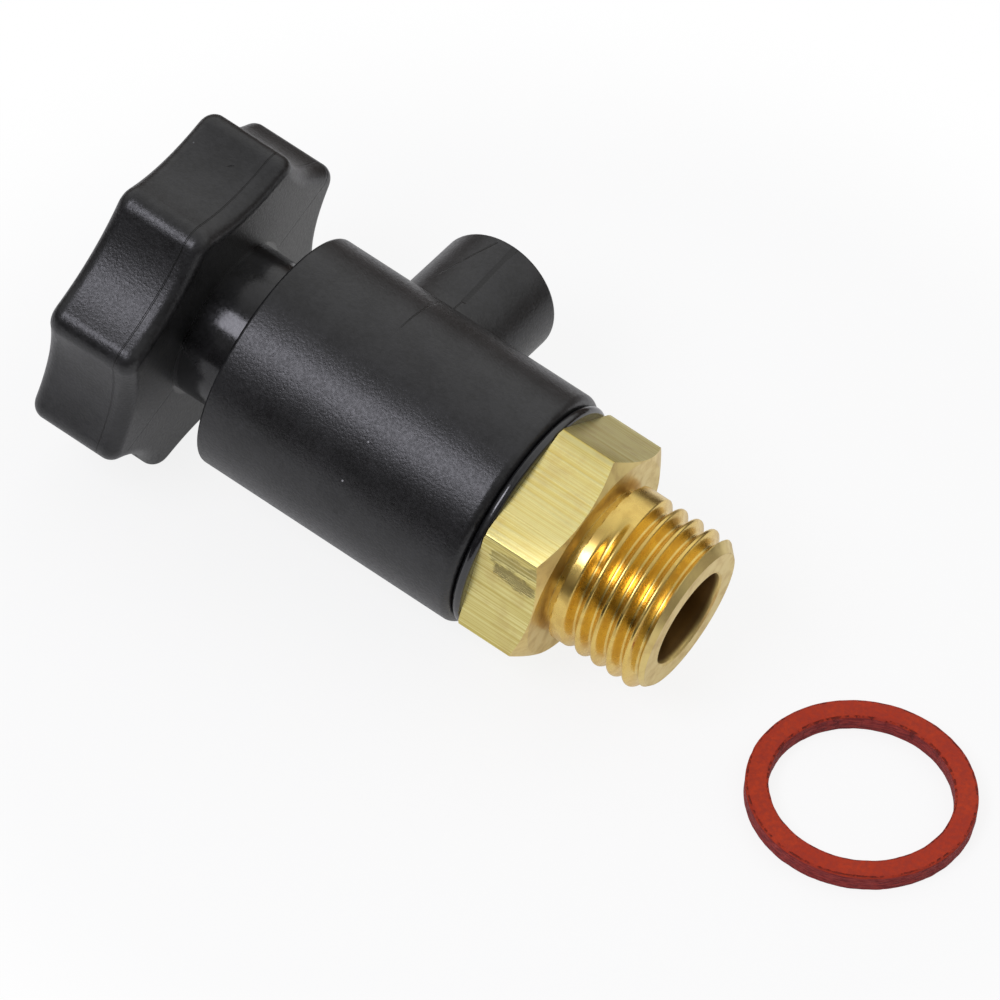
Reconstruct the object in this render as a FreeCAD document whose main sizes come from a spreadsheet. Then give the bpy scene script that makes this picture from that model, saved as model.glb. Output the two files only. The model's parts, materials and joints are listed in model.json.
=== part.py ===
import FreeCAD, Part
import math
import os

import Sketcher

from FreeCAD import Placement, Rotation, Vector

# A screw-down drain cock lying on a table, with its loose sealing washer in front of it.
# Every piece is drawn along the cock's own axis: x runs from the knob towards the thread,
# x = 0 is the spout's centre line, and the spout points along +Y. At the end all pieces get
# one shared placement, which lays the cock on its knob and on a corner of its hexagon.

DIMENSIONS = (
    ("body_diameter", 20.9, "plastic body, outside"),
    ("body_to_knob", 9.4, "spout's centre line to the body's knob end"),
    ("body_to_hexagon", 15.1, "spout's centre line to the body's hexagon end"),
    ("body_knob_rim", 0.35, "rounding of the body's knob end"),
    ("body_hexagon_rim", 0.8, "rounding of the body's hexagon end"),
    ("chamber_diameter", 10.8, "valve chamber"),
    ("chamber_to_knob", 3.4, "spout's centre line to the chamber's knob end"),
    ("chamber_to_hexagon", 6.3, "spout's centre line to the chamber's hexagon end"),
    ("spout_diameter", 10.9, "spout, outside"),
    ("spout_bore", 6.4, "spout, inside"),
    ("spout_reach", 18.65, "cock's centre line to the spout's mouth"),
    ("spout_rim", 0.4, "rounding of the spout's mouth"),
    ("spout_foot_growth", 0.75, "how much the spout's coned foot grows towards the cock's axis"),
    ("spout_foot_length", 0.75, "that foot, beyond the body"),
    ("spout_root", 0.5, "rounding where the foot leaves the body"),
    ("spout_dip", 4.5, "degrees that the spout points below level"),
    ("hub_diameter", 13.4, "smooth neck of the knob"),
    ("hub_wall", 1.45, "wall of the knob's neck"),
    ("hub_gap", 0.4, "neck's end to the bush, valve shut"),
    ("sliding_clearance", 0.25, "radial, round the knob's neck, inside and outside"),
    ("knob_back", 14.2, "spout's centre line to the knob's back face"),
    ("knob_thickness", 8.4, "knob, without its neck"),
    ("knob_lobes", 8, "lobes round the knob"),
    ("knob_valley", 13.2, "radius at the bottom of a scallop"),
    ("knob_scallop", 14.6, "radius of a scallop's curve"),
    ("knob_tip_rounding", 1.8, "rounding of a lobe's tip"),
    ("knob_edge_rounding", 1.2, "rounding of the knob's front and back edges"),
    ("knob_dish_diameter", 17.0, "shallow dish in the knob's front face"),
    ("knob_dish_depth", 0.8, "depth of that dish"),
    ("spindle_diameter", 6.0, "spindle over its thread"),
    ("spindle_head_diameter", 8.4, "spindle's head inside the knob"),
    ("spindle_head_length", 4.0, "length of that head"),
    ("spindle_head_cover", 3.0, "plastic over the head, measured from the knob's front face"),
    ("spindle_lift", 3.0, "travel from shut to open"),
    ("running_clearance", 0.06, "radial, between pieces that turn in each other"),
    ("bush_base_thickness", 1.6, "bush's base, pressed into the body"),
    ("bush_neck_diameter", 10.0, "bush's neck inside the knob's neck"),
    ("bush_neck_length", 6.5, "bush's neck from its base"),
    ("gland_ring_section", 1.1, "thickness of the spindle's sealing ring"),
    ("gland_groove_width", 1.3, "groove for that ring"),
    ("gland_web", 0.5, "brass between the groove and the clip's recess"),
    ("ring_seat_clearance", 0.03, "a sealing ring to the walls that it seals"),
    ("clip_thickness", 0.5, "stop clip"),
    ("clip_diameter", 8.0, "stop clip, outside"),
    ("clip_recess", 0.6, "recess in the bush that the clip stops in"),
    ("clip_spare", 0.1, "clip to the recess's floor, valve open"),
    ("clip_groove_diameter", 4.4, "spindle in the clip's groove"),
    ("clip_side_clearance", 0.05, "clip to each side of its groove"),
    ("spindle_land_diameter", 5.2, "spindle beyond the clip"),
    ("spindle_land_length", 0.65, "length of that land"),
    ("swivel_pin_diameter", 3.6, "spindle's pin inside the valve head"),
    ("swivel_pin_length", 2.1, "length of that pin"),
    ("swivel_neck_diameter", 2.8, "waist of the pin, where the head snaps on"),
    ("swivel_neck_length", 0.7, "length of the waist"),
    ("swivel_neck_start", 0.7, "land to the waist"),
    ("head_gap", 0.2, "spindle's land to the valve head"),
    ("head_hub_diameter", 6.4, "valve head round the pin"),
    ("head_flange_diameter", 8.8, "valve head behind the seal"),
    ("head_flange_thickness", 0.8, "that flange"),
    ("seal_diameter", 8.4, "rubber seal"),
    ("seal_thickness", 1.4, "rubber seal"),
    ("seal_screw_diameter", 2.4, "screw through the seal"),
    ("seal_screw_length", 2.6, "screw under its head"),
    ("seal_screw_head_diameter", 4.2, "screw's head"),
    ("seal_screw_head_height", 1.0, "screw's head"),
    ("seal_screw_slot_width", 0.6, "slot in the head"),
    ("seal_screw_slot_depth", 0.5, "slot in the head"),
    ("seat_place", 5.6, "spout's centre line to the seat"),
    ("seat_inner_diameter", 5.2, "hole in the seat"),
    ("seat_outer_diameter", 7.6, "seat's lip, outside"),
    ("stem_gap", 0.2, "stem's end to the body's shoulder"),
    ("stem_diameter", 12.8, "brass stem inside the body"),
    ("stem_edge", 0.4, "chamfer at the stem's end"),
    ("stem_ring_section", 1.5, "thickness of a stem's sealing ring"),
    ("stem_groove_width", 1.8, "groove for such a ring"),
    ("stem_groove_depth", 1.5, "groove for such a ring"),
    ("stem_groove_start", 1.6, "stem's end to the first groove"),
    ("stem_groove_step", 2.8, "first groove to the second"),
    ("snap_ring_thickness", 0.6, "snap ring that holds the body on the stem"),
    ("snap_ring_height", 1.3, "snap ring from inside to outside"),
    ("snap_ring_place", 1.6, "body's hexagon end to the middle of the snap ring"),
    ("snap_groove_depth", 0.75, "snap ring's groove in the stem"),
    ("slip_washer_diameter", 20.0, "glossy ring between body and hexagon"),
    ("slip_washer_thickness", 0.85, "that ring"),
    ("slip_gap", 0.05, "body to that ring"),
    ("hexagon_across_flats", 18.0, "hexagon"),
    ("hexagon_length", 5.8, "hexagon"),
    ("hexagon_turn", 5.0, "degrees from straight up to a corner, towards the spout"),
    ("hexagon_chamfer", 30.0, "degrees between the turned chamfer and the hexagon's face"),
    ("hexagon_face_diameter", 17.8, "flat face in front of the hexagon"),
    ("hexagon_back_diameter", 20.4, "flat face behind the hexagon"),
    ("thread_diameter", 14.0, "thread, over its crests"),
    ("thread_reach", 9.2, "hexagon to the thread's end"),
    ("thread_chamfer", 0.9, "chamfer at the thread's end"),
    ("relief_diameter", 11.9, "relief behind the thread"),
    ("relief_width", 1.4, "relief behind the thread"),
    ("inlet_bore", 8.2, "bore from the thread's end"),
    ("inlet_depth", 18.0, "depth of that bore"),
    ("washer_inner_diameter", 14.6, "hole of the loose sealing washer"),
    ("washer_width", 1.9, "that washer, from its hole to its edge"),
    ("washer_thickness", 1.5, "loose sealing washer"),
    ("washer_place", 48.0, "spout's centre line to the washer's centre, along the table"),
)

doc = FreeCAD.newDocument("DrainCock")
sheet = doc.addObject("Spreadsheet::Sheet", "dim")
for row, (alias, number, note) in enumerate(DIMENSIONS, start=1):
    sheet.set(f"A{row}", note)
    sheet.set(f"B{row}", str(number))
    sheet.setAlias(f"B{row}", alias)
doc.recompute()

# Millimetres: two lengths closer than NEARLY are the same, and a cut starts PAST the solid
NEARLY = 0.001
PAST = 1

# Places along the axis and radii that several pieces share, written with the sheet's names
BODY_KNOB_END = "-dim.body_to_knob"
BODY_HEXAGON_END = "dim.body_to_hexagon"
SPOUT_FOOT_END = "(dim.body_diameter / 2 + dim.spout_foot_length)"
BUSH_SEAT = "-dim.chamber_to_knob"
BUSH_BASE = f"({BUSH_SEAT} - dim.bush_base_thickness)"
BUSH_NECK_END = f"({BUSH_BASE} - dim.bush_neck_length)"
HUB_END = f"({BUSH_BASE} - dim.hub_gap)"
HUB_RADIUS = "dim.hub_diameter / 2"
HUB_BORE = f"({HUB_RADIUS} - dim.hub_wall)"
HUB_CAVITY_END = f"({BUSH_NECK_END} - dim.hub_gap)"
GUIDE_RADIUS = f"({HUB_RADIUS} + dim.sliding_clearance)"
KNOB_BACK = "-dim.knob_back"
KNOB_FRONT = "(-dim.knob_back - dim.knob_thickness)"
SPINDLE_RADIUS = "dim.spindle_diameter / 2"
SPINDLE_BORE = f"({SPINDLE_RADIUS} + dim.running_clearance)"
HEAD_FRONT = f"({KNOB_FRONT} + dim.spindle_head_cover)"
HEAD_BACK = f"({HEAD_FRONT} + dim.spindle_head_length)"
CLIP_FLOOR = f"({BUSH_SEAT} - dim.clip_recess)"
CLIP_FACE = f"({CLIP_FLOOR} + dim.clip_spare + dim.spindle_lift)"
CLIP_END = f"({CLIP_FACE} + dim.clip_thickness)"
CLIP_RECESS_RADIUS = "(dim.clip_diameter / 2 + dim.sliding_clearance)"
GLAND_END = f"({CLIP_FLOOR} - dim.gland_web)"
GLAND_START = f"({GLAND_END} - dim.gland_groove_width)"
GLAND_MIDDLE = f"({GLAND_END} - dim.gland_groove_width / 2)"
GLAND_RADIUS = f"({SPINDLE_RADIUS} + dim.gland_ring_section + 2 * dim.ring_seat_clearance)"
LAND_START = f"({CLIP_END} + dim.clip_side_clearance)"
LAND_END = f"({LAND_START} + dim.spindle_land_length)"
WAIST_START = f"({LAND_END} + dim.swivel_neck_start)"
WAIST_END = f"({WAIST_START} + dim.swivel_neck_length)"
PIN_END = f"({LAND_END} + dim.swivel_pin_length)"
PIN_RADIUS = "dim.swivel_pin_diameter / 2"
WAIST_RADIUS = "dim.swivel_neck_diameter / 2"
VALVE_START = f"({LAND_END} + dim.head_gap)"
SEAT = "dim.seat_place"
SEAL_BACK = f"({SEAT} - dim.seal_thickness)"
FLANGE_BACK = f"({SEAL_BACK} - dim.head_flange_thickness)"
SCREW_RADIUS = "dim.seal_screw_diameter / 2"
SCREW_TIP = f"({SEAT} - dim.seal_screw_length)"
SCREW_TOP = f"({SEAT} + dim.seal_screw_head_height)"
STEM_RADIUS = "dim.stem_diameter / 2"
STEM_BORE = f"({STEM_RADIUS} + dim.running_clearance)"
STEM_END = "(dim.chamber_to_hexagon + dim.stem_gap)"
RING_GROOVE_BOTTOM = f"({STEM_RADIUS} - dim.stem_groove_depth)"
RING_GROOVES = (
    f"({STEM_END} + dim.stem_groove_start)",
    f"({STEM_END} + dim.stem_groove_start + dim.stem_groove_step)",
)
SNAP_START = f"({BODY_HEXAGON_END} - dim.snap_ring_place - dim.snap_ring_thickness / 2)"
SNAP_END = f"({BODY_HEXAGON_END} - dim.snap_ring_place + dim.snap_ring_thickness / 2)"
SNAP_BOTTOM = f"({STEM_RADIUS} - dim.snap_groove_depth)"
SNAP_INSIDE = f"({SNAP_BOTTOM} + dim.running_clearance)"
SNAP_OUTSIDE = f"({SNAP_INSIDE} + dim.snap_ring_height)"
SNAP_GROOVE = f"({SNAP_OUTSIDE} + dim.sliding_clearance)"
SLIP_START = f"({BODY_HEXAGON_END} + dim.slip_gap)"
HEXAGON_BACK = f"({SLIP_START} + dim.slip_washer_thickness)"
HEXAGON_FRONT = f"({HEXAGON_BACK} + dim.hexagon_length)"
HEXAGON_CORNER = "(dim.hexagon_across_flats / 2 / cos(30deg))"
THREAD_END = f"({HEXAGON_FRONT} + dim.thread_reach)"
THREAD_START = f"({HEXAGON_FRONT} + dim.relief_width)"
THREAD_RADIUS = "dim.thread_diameter / 2"
RELIEF_RADIUS = "dim.relief_diameter / 2"
RELIEF_RAMP = f"({THREAD_RADIUS} - {RELIEF_RADIUS})"
INLET_RADIUS = "dim.inlet_bore / 2"
INLET_END = f"({THREAD_END} - dim.inlet_depth)"
INLET_CONE = f"({INLET_END} - ({INLET_RADIUS} - dim.seat_inner_diameter / 2) / 2)"
HALF_LOBE = "(180deg / dim.knob_lobes)"
SCALLOP_CENTRE = "(dim.knob_valley + dim.knob_scallop)"
BLANK_RADIUS = (
    f"({SCALLOP_CENTRE} * cos({HALF_LOBE})"
    f" - sqrt(dim.knob_scallop ^ 2 - ({SCALLOP_CENTRE} * sin({HALF_LOBE})) ^ 2) + {PAST})"
)


def number(expression):
    """The value of an expression of the sheet's names."""
    result = sheet.evalExpression(expression)
    return float(getattr(result, "Value", result))


def plane(body, role):
    """One of the body's own origin planes."""
    return next(item for item in body.Origin.OriginFeatures if item.Role == role)


def sketch_on(body, name, role, place=None):
    """A sketch on one of the body's origin planes, or at a place along that plane's normal."""
    sketch = body.newObject("Sketcher::SketchObject", name)
    sketch.AttachmentSupport = (plane(body, role), "")
    sketch.MapMode = "FlatFace"
    if place is not None:
        sketch.setExpression("AttachmentOffset.Base.z", place)
    return sketch


def fix_point(sketch, index, end, across, up):
    """Hold one point of a sketch at two expressions, measured from the sketch's origin."""
    for kind, expression in (("DistanceX", across), ("DistanceY", up)):
        rule = Sketcher.Constraint(kind, -1, 1, index, end, number(expression))
        held = sketch.addConstraint(rule)
        sketch.setExpression(f"Constraints[{held}]", expression)


def outline(sketch, corners):
    """A closed outline of straight lines through corners given as pairs of expressions."""
    points = [Vector(number(across), number(up), 0) for across, up in corners]
    for index, point in enumerate(points):
        following = points[(index + 1) % len(points)]
        sketch.addGeometry(Part.LineSegment(point, following), False)
    for index in range(len(points)):
        following = (index + 1) % len(points)
        sketch.addConstraint(Sketcher.Constraint("Coincident", index, 2, following, 1))
    for index, (across, up) in enumerate(corners):
        fix_point(sketch, index, 1, across, up)


def disc(sketch, radius, across="0", up="0"):
    """A circle whose centre and radius are expressions."""
    centre = Vector(number(across), number(up), 0)
    index = sketch.addGeometry(Part.Circle(centre, Vector(0, 0, 1), number(radius)), False)
    fix_point(sketch, index, 3, across, up)
    held = sketch.addConstraint(Sketcher.Constraint("Radius", index, number(radius)))
    sketch.setExpression(f"Constraints[{held}]", radius)


def turn(body, name, corners, cut=False, angle=360):
    """Turn an outline round the cock's axis, to add it to the body or to cut it out."""
    sketch = sketch_on(body, name + "Profile", "XY_Plane")
    outline(sketch, corners)
    kind = "PartDesign::Groove" if cut else "PartDesign::Revolution"
    feature = body.newObject(kind, name)
    feature.Profile = sketch
    feature.ReferenceAxis = (sketch, ["H_Axis"])
    feature.Angle = angle
    doc.recompute()
    return feature


def straight(body, name, sketch, length, cut=False, backwards=False):
    """Pad or pocket a sketch by a length given as an expression."""
    feature = body.newObject("PartDesign::Pocket" if cut else "PartDesign::Pad", name)
    feature.Profile = sketch
    feature.Reversed = backwards
    feature.setExpression("Length", length)
    doc.recompute()
    return feature


def rounded(body, name, feature, radius, wanted):
    """Round the edges of a feature that a test picks."""
    edges = [f"Edge{n}" for n, edge in enumerate(feature.Shape.Edges, start=1) if wanted(edge)]
    result = body.newObject("PartDesign::Fillet", name)
    result.Base = (feature, edges)
    result.setExpression("Radius", radius)
    doc.recompute()
    return result


def new_body(label):
    body = doc.addObject("PartDesign::Body", label)
    body.Label = label
    return body


def turned_piece(label, corners, angle=360):
    """A piece that is one outline turned round the cock's axis."""
    body = new_body(label)
    turn(body, label + "_turned", corners, angle=angle)
    return body


def sealing_ring(label, section, ring_radius, place):
    """A rubber ring round the cock's axis, as a torus."""
    torus = doc.addObject("Part::Torus", label)
    torus.Label = label
    torus.setExpression("Radius1", ring_radius)
    torus.setExpression("Radius2", f"{section} / 2")
    torus.Placement = Placement(Vector(number(place), 0, 0), Rotation(Vector(0, 1, 0), 90))
    return torus


def in_plane(edge, place):
    """Whether an edge lies in the plane across the axis at a place."""
    box = edge.BoundBox
    return abs(box.XMin - place) < NEARLY and abs(box.XMax - place) < NEARLY


def widest(edge):
    """The edge's farthest reach from the axis."""
    return max(math.hypot(point.y, point.z) for point in edge.discretize(9))


# The body: a plastic barrel with the outlet spout moulded on, bored from both ends
def make_body_housing():
    body = new_body("body_housing")
    radius = "dim.body_diameter / 2"
    barrel = [
        (BODY_KNOB_END, "0"),
        (BODY_HEXAGON_END, "0"),
        (BODY_HEXAGON_END, radius),
        (BODY_KNOB_END, radius),
    ]
    turn(body, "Barrel", barrel)
    foot = sketch_on(body, "FootProfile", "XY_Plane")
    spout_radius = "dim.spout_diameter / 2"
    foot_corners = [
        ("0", "0"),
        (f"({spout_radius} + dim.spout_foot_growth)", "0"),
        (spout_radius, SPOUT_FOOT_END),
        ("0", SPOUT_FOOT_END),
    ]
    outline(foot, foot_corners)
    cone = body.newObject("PartDesign::Revolution", "Foot")
    cone.Profile = foot
    cone.ReferenceAxis = (foot, ["V_Axis"])
    doc.recompute()
    tube = sketch_on(body, "SpoutCircle", "XZ_Plane")
    disc(tube, "dim.spout_diameter / 2")
    spout = straight(body, "Spout", tube, "dim.spout_reach", backwards=True)
    left, right = number(BODY_KNOB_END), number(BODY_HEXAGON_END)
    mouth = number("dim.spout_reach")
    spout = rounded(body, "KnobRim", spout, "dim.body_knob_rim", lambda e: in_plane(e, left))
    spout = rounded(body, "HexagonRim", spout, "dim.body_hexagon_rim", lambda e: in_plane(e, right))
    spout = rounded(
        body, "MouthRim", spout, "dim.spout_rim", lambda e: e.BoundBox.YMin > mouth - NEARLY
    )
    reach = number(f"{spout_radius} + dim.spout_foot_growth")
    foot_end = number(SPOUT_FOOT_END)

    def at_root(edge):
        box = edge.BoundBox
        round_the_spout = box.XMin > -reach and box.XMax < reach and box.XLength > 1
        return round_the_spout and box.YMin > 0 and box.YMax < foot_end - NEARLY

    rounded(body, "SpoutRoot", spout, "dim.spout_root", at_root)
    snap_from = f"({SNAP_START} - dim.slip_gap)"
    snap_to = f"({SNAP_END} + dim.slip_gap)"
    bore = [
        (f"({BODY_KNOB_END} - {PAST})", "0"),
        (f"({BODY_KNOB_END} - {PAST})", GUIDE_RADIUS),
        (BUSH_SEAT, GUIDE_RADIUS),
        (BUSH_SEAT, "dim.chamber_diameter / 2"),
        ("dim.chamber_to_hexagon", "dim.chamber_diameter / 2"),
        ("dim.chamber_to_hexagon", STEM_BORE),
        (snap_from, STEM_BORE),
        (snap_from, SNAP_GROOVE),
        (snap_to, SNAP_GROOVE),
        (snap_to, STEM_BORE),
        (f"({BODY_HEXAGON_END} + {PAST})", STEM_BORE),
        (f"({BODY_HEXAGON_END} + {PAST})", "0"),
    ]
    turn(body, "Bore", bore, cut=True)
    outlet = sketch_on(body, "OutletCircle", "XZ_Plane")
    disc(outlet, "dim.spout_bore / 2")
    bored = straight(body, "Outlet", outlet, f"(dim.spout_reach + {PAST})", cut=True)
    inside = number("dim.spout_bore") + NEARLY

    def at_bore_mouth(edge):
        return edge.BoundBox.YMin > mouth - NEARLY and edge.BoundBox.XLength < inside

    rounded(body, "BoreRim", bored, "dim.spout_rim", at_bore_mouth)
    return body


# The fitting: hexagon bar turned down to a male thread in front and to the swivel stem behind
def make_brass_fitting():
    body = new_body("brass_fitting")
    stem = [
        (STEM_END, "0"),
        (STEM_END, f"({STEM_RADIUS} - dim.stem_edge)"),
        (f"({STEM_END} + dim.stem_edge)", STEM_RADIUS),
        (f"({HEXAGON_BACK} + {PAST})", STEM_RADIUS),
        (f"({HEXAGON_FRONT} - {PAST})", RELIEF_RADIUS),
        (THREAD_START, RELIEF_RADIUS),
        (f"({THREAD_START} + {RELIEF_RAMP})", THREAD_RADIUS),
        (f"({THREAD_END} - dim.thread_chamfer)", THREAD_RADIUS),
        (THREAD_END, f"({THREAD_RADIUS} - dim.thread_chamfer)"),
        (THREAD_END, "0"),
    ]
    turn(body, "StemAndThread", stem)
    seat = [
        (SEAT, "dim.seat_inner_diameter / 2"),
        (SEAT, "dim.seat_outer_diameter / 2"),
        (f"({STEM_END} + {PAST})", "dim.seat_outer_diameter / 2"),
        (f"({STEM_END} + {PAST})", "dim.seat_inner_diameter / 2"),
    ]
    turn(body, "SeatLip", seat)
    bar = sketch_on(body, "HexagonOutline", "YZ_Plane", HEXAGON_BACK)
    corners = []
    for corner in range(6):
        angle = f"(dim.hexagon_turn * 1deg + {60 * corner}deg)"
        corners.append((f"({HEXAGON_CORNER} * sin({angle}))", f"({HEXAGON_CORNER} * cos({angle}))"))
    outline(bar, corners)
    straight(body, "Hexagon", bar, "dim.hexagon_length")
    beyond = f"({HEXAGON_CORNER} + {PAST})"
    for name, face, way, flat in (
        ("FrontChamfer", HEXAGON_FRONT, "-1", "dim.hexagon_face_diameter / 2"),
        ("BackChamfer", HEXAGON_BACK, "1", "dim.hexagon_back_diameter / 2"),
    ):
        drop = f"(({beyond} - {flat}) * tan(dim.hexagon_chamfer * 1deg))"
        cone = [(face, flat), (face, beyond), (f"({face} + {way} * {drop})", beyond)]
        turn(body, name, cone, cut=True)
    for count, start in enumerate(RING_GROOVES, start=1):
        groove = [
            (start, RING_GROOVE_BOTTOM),
            (start, f"({STEM_RADIUS} + {PAST})"),
            (f"({start} + dim.stem_groove_width)", f"({STEM_RADIUS} + {PAST})"),
            (f"({start} + dim.stem_groove_width)", RING_GROOVE_BOTTOM),
        ]
        turn(body, f"RingGroove{count}", groove, cut=True)
    snap_from = f"({SNAP_START} - dim.slip_gap)"
    snap_to = f"({SNAP_END} + dim.slip_gap)"
    snap = [
        (snap_from, SNAP_BOTTOM),
        (snap_from, f"({STEM_RADIUS} + {PAST})"),
        (snap_to, f"({STEM_RADIUS} + {PAST})"),
        (snap_to, SNAP_BOTTOM),
    ]
    turn(body, "SnapGroove", snap, cut=True)
    inlet = [
        (f"({SEAT} - {PAST})", "0"),
        (f"({SEAT} - {PAST})", "dim.seat_inner_diameter / 2"),
        (INLET_CONE, "dim.seat_inner_diameter / 2"),
        (INLET_END, INLET_RADIUS),
        (f"({THREAD_END} + {PAST})", INLET_RADIUS),
        (f"({THREAD_END} + {PAST})", "0"),
    ]
    turn(body, "InletBore", inlet, cut=True)
    return body


# The knob: a disc with eight scallops round it, and a smooth neck that slides in the body
def make_star_knob():
    body = new_body("star_knob")
    blank = sketch_on(body, "BlankCircle", "YZ_Plane", KNOB_FRONT)
    disc(blank, BLANK_RADIUS)
    straight(body, "Blank", blank, "dim.knob_thickness")
    scallop = sketch_on(body, "ScallopCircle", "YZ_Plane", KNOB_FRONT)
    disc(scallop, "dim.knob_scallop", "0", SCALLOP_CENTRE)
    first = straight(body, "Scallop", scallop, "dim.knob_thickness", cut=True, backwards=True)
    ring = body.newObject("PartDesign::PolarPattern", "Scallops")
    ring.Originals = [first]
    ring.Axis = (next(i for i in body.Origin.OriginFeatures if i.Role == "X_Axis"), [""])
    ring.Angle = 360
    ring.setExpression("Occurrences", "dim.knob_lobes")
    body.Tip = ring
    doc.recompute()
    front, back = number(KNOB_FRONT), number(KNOB_BACK)
    valley = number("dim.knob_valley")

    def at_tip(edge):
        box = edge.BoundBox
        along_axis = box.XLength > 1 and box.YLength < NEARLY and box.ZLength < NEARLY
        return along_axis and widest(edge) > valley + 0.5

    tips = rounded(body, "TipRounding", ring, "dim.knob_tip_rounding", at_tip)
    faces = rounded(
        body,
        "EdgeRounding",
        tips,
        "dim.knob_edge_rounding",
        lambda e: in_plane(e, front) or in_plane(e, back),
    )
    body.Tip = faces
    hub = [
        (f"({KNOB_BACK} - {PAST})", "0"),
        (f"({KNOB_BACK} - {PAST})", HUB_RADIUS),
        (HUB_END, HUB_RADIUS),
        (HUB_END, "0"),
    ]
    turn(body, "Neck", hub)
    cavity = [
        (HUB_CAVITY_END, "0"),
        (HUB_CAVITY_END, HUB_BORE),
        (f"({HUB_END} + {PAST})", HUB_BORE),
        (f"({HUB_END} + {PAST})", "0"),
    ]
    turn(body, "NeckBore", cavity, cut=True)
    head = "dim.spindle_head_diameter / 2"
    insert = [
        (HEAD_FRONT, "0"),
        (HEAD_FRONT, head),
        (HEAD_BACK, head),
        (HEAD_BACK, SPINDLE_RADIUS),
        (f"({HUB_CAVITY_END} + {PAST})", SPINDLE_RADIUS),
        (f"({HUB_CAVITY_END} + {PAST})", "0"),
    ]
    turn(body, "SpindleHole", insert, cut=True)
    dish = [
        (f"({KNOB_FRONT} - {PAST})", "0"),
        (f"({KNOB_FRONT} - {PAST})", f"(dim.knob_dish_diameter / 2 + {PAST})"),
        (KNOB_FRONT, "dim.knob_dish_diameter / 2"),
        (f"({KNOB_FRONT} + dim.knob_dish_depth)", "(dim.knob_dish_diameter / 2 - dim.knob_dish_depth)"),
        (f"({KNOB_FRONT} + dim.knob_dish_depth)", "0"),
    ]
    turn(body, "Dish", dish, cut=True)
    return body


# The spindle: its head is moulded into the knob, its thread runs in the bush, and the
# valve head turns freely on the pin at its end
def make_spindle():
    head = "dim.spindle_head_diameter / 2"
    groove = "dim.clip_groove_diameter / 2"
    land = "dim.spindle_land_diameter / 2"
    clip_from = f"({CLIP_FACE} - dim.clip_side_clearance)"
    return turned_piece(
        "spindle",
        [
            (HEAD_FRONT, "0"),
            (HEAD_FRONT, head),
            (HEAD_BACK, head),
            (HEAD_BACK, SPINDLE_RADIUS),
            (clip_from, SPINDLE_RADIUS),
            (clip_from, groove),
            (LAND_START, groove),
            (LAND_START, land),
            (LAND_END, land),
            (LAND_END, PIN_RADIUS),
            (WAIST_START, PIN_RADIUS),
            (WAIST_START, WAIST_RADIUS),
            (WAIST_END, WAIST_RADIUS),
            (WAIST_END, PIN_RADIUS),
            (PIN_END, PIN_RADIUS),
            (PIN_END, "0"),
        ],
    )


# The bush: pressed into the body, threaded for the spindle, with its sealing ring's groove
def make_threaded_bush():
    neck = "dim.bush_neck_diameter / 2"
    return turned_piece(
        "threaded_bush",
        [
            (BUSH_NECK_END, SPINDLE_BORE),
            (BUSH_NECK_END, neck),
            (BUSH_BASE, neck),
            (BUSH_BASE, GUIDE_RADIUS),
            (BUSH_SEAT, GUIDE_RADIUS),
            (BUSH_SEAT, CLIP_RECESS_RADIUS),
            (CLIP_FLOOR, CLIP_RECESS_RADIUS),
            (CLIP_FLOOR, SPINDLE_BORE),
            (GLAND_END, SPINDLE_BORE),
            (GLAND_END, GLAND_RADIUS),
            (GLAND_START, GLAND_RADIUS),
            (GLAND_START, SPINDLE_BORE),
        ],
    )


def make_stop_clip():
    inside = "(dim.clip_groove_diameter / 2 + dim.ring_seat_clearance)"
    outside = "dim.clip_diameter / 2"
    corners = [(CLIP_FACE, inside), (CLIP_FACE, outside), (CLIP_END, outside), (CLIP_END, inside)]
    return turned_piece("stop_clip", corners, angle=300)


# The valve head snaps over the spindle's pin, so it lifts with the spindle but need not turn
def make_valve_head():
    socket = f"({PIN_RADIUS} + dim.running_clearance)"
    lip = f"({WAIST_RADIUS} + dim.running_clearance)"
    lip_from = f"({WAIST_START} + dim.running_clearance)"
    lip_to = f"({WAIST_END} - dim.running_clearance)"
    socket_end = f"({PIN_END} + dim.head_gap)"
    hub = "dim.head_hub_diameter / 2"
    flange = "dim.head_flange_diameter / 2"
    hole_from = f"({SCREW_TIP} - dim.running_clearance)"
    return turned_piece(
        "valve_head",
        [
            (VALVE_START, socket),
            (VALVE_START, hub),
            (FLANGE_BACK, hub),
            (FLANGE_BACK, flange),
            (SEAL_BACK, flange),
            (SEAL_BACK, SCREW_RADIUS),
            (hole_from, SCREW_RADIUS),
            (hole_from, "0"),
            (socket_end, "0"),
            (socket_end, socket),
            (lip_to, socket),
            (lip_to, lip),
            (lip_from, lip),
            (lip_from, socket),
        ],
    )


def make_seat_seal():
    outside = "dim.seal_diameter / 2"
    corners = [(SEAL_BACK, SCREW_RADIUS), (SEAL_BACK, outside), (SEAT, outside), (SEAT, SCREW_RADIUS)]
    return turned_piece("seat_seal", corners)


def make_seal_screw():
    head = "dim.seal_screw_head_diameter / 2"
    shank = [
        (SCREW_TIP, "0"),
        (SCREW_TIP, SCREW_RADIUS),
        (SEAT, SCREW_RADIUS),
        (SEAT, head),
        (SCREW_TOP, head),
        (SCREW_TOP, "0"),
    ]
    body = turned_piece("seal_screw", shank)
    slot = sketch_on(body, "SlotOutline", "YZ_Plane", SCREW_TOP)
    half, long = "dim.seal_screw_slot_width / 2", f"({head} + {PAST})"
    outline(slot, [(f"-{half}", f"-{long}"), (half, f"-{long}"), (half, long), (f"-{half}", long)])
    straight(body, "Slot", slot, "dim.seal_screw_slot_depth", cut=True)
    return body


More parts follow.
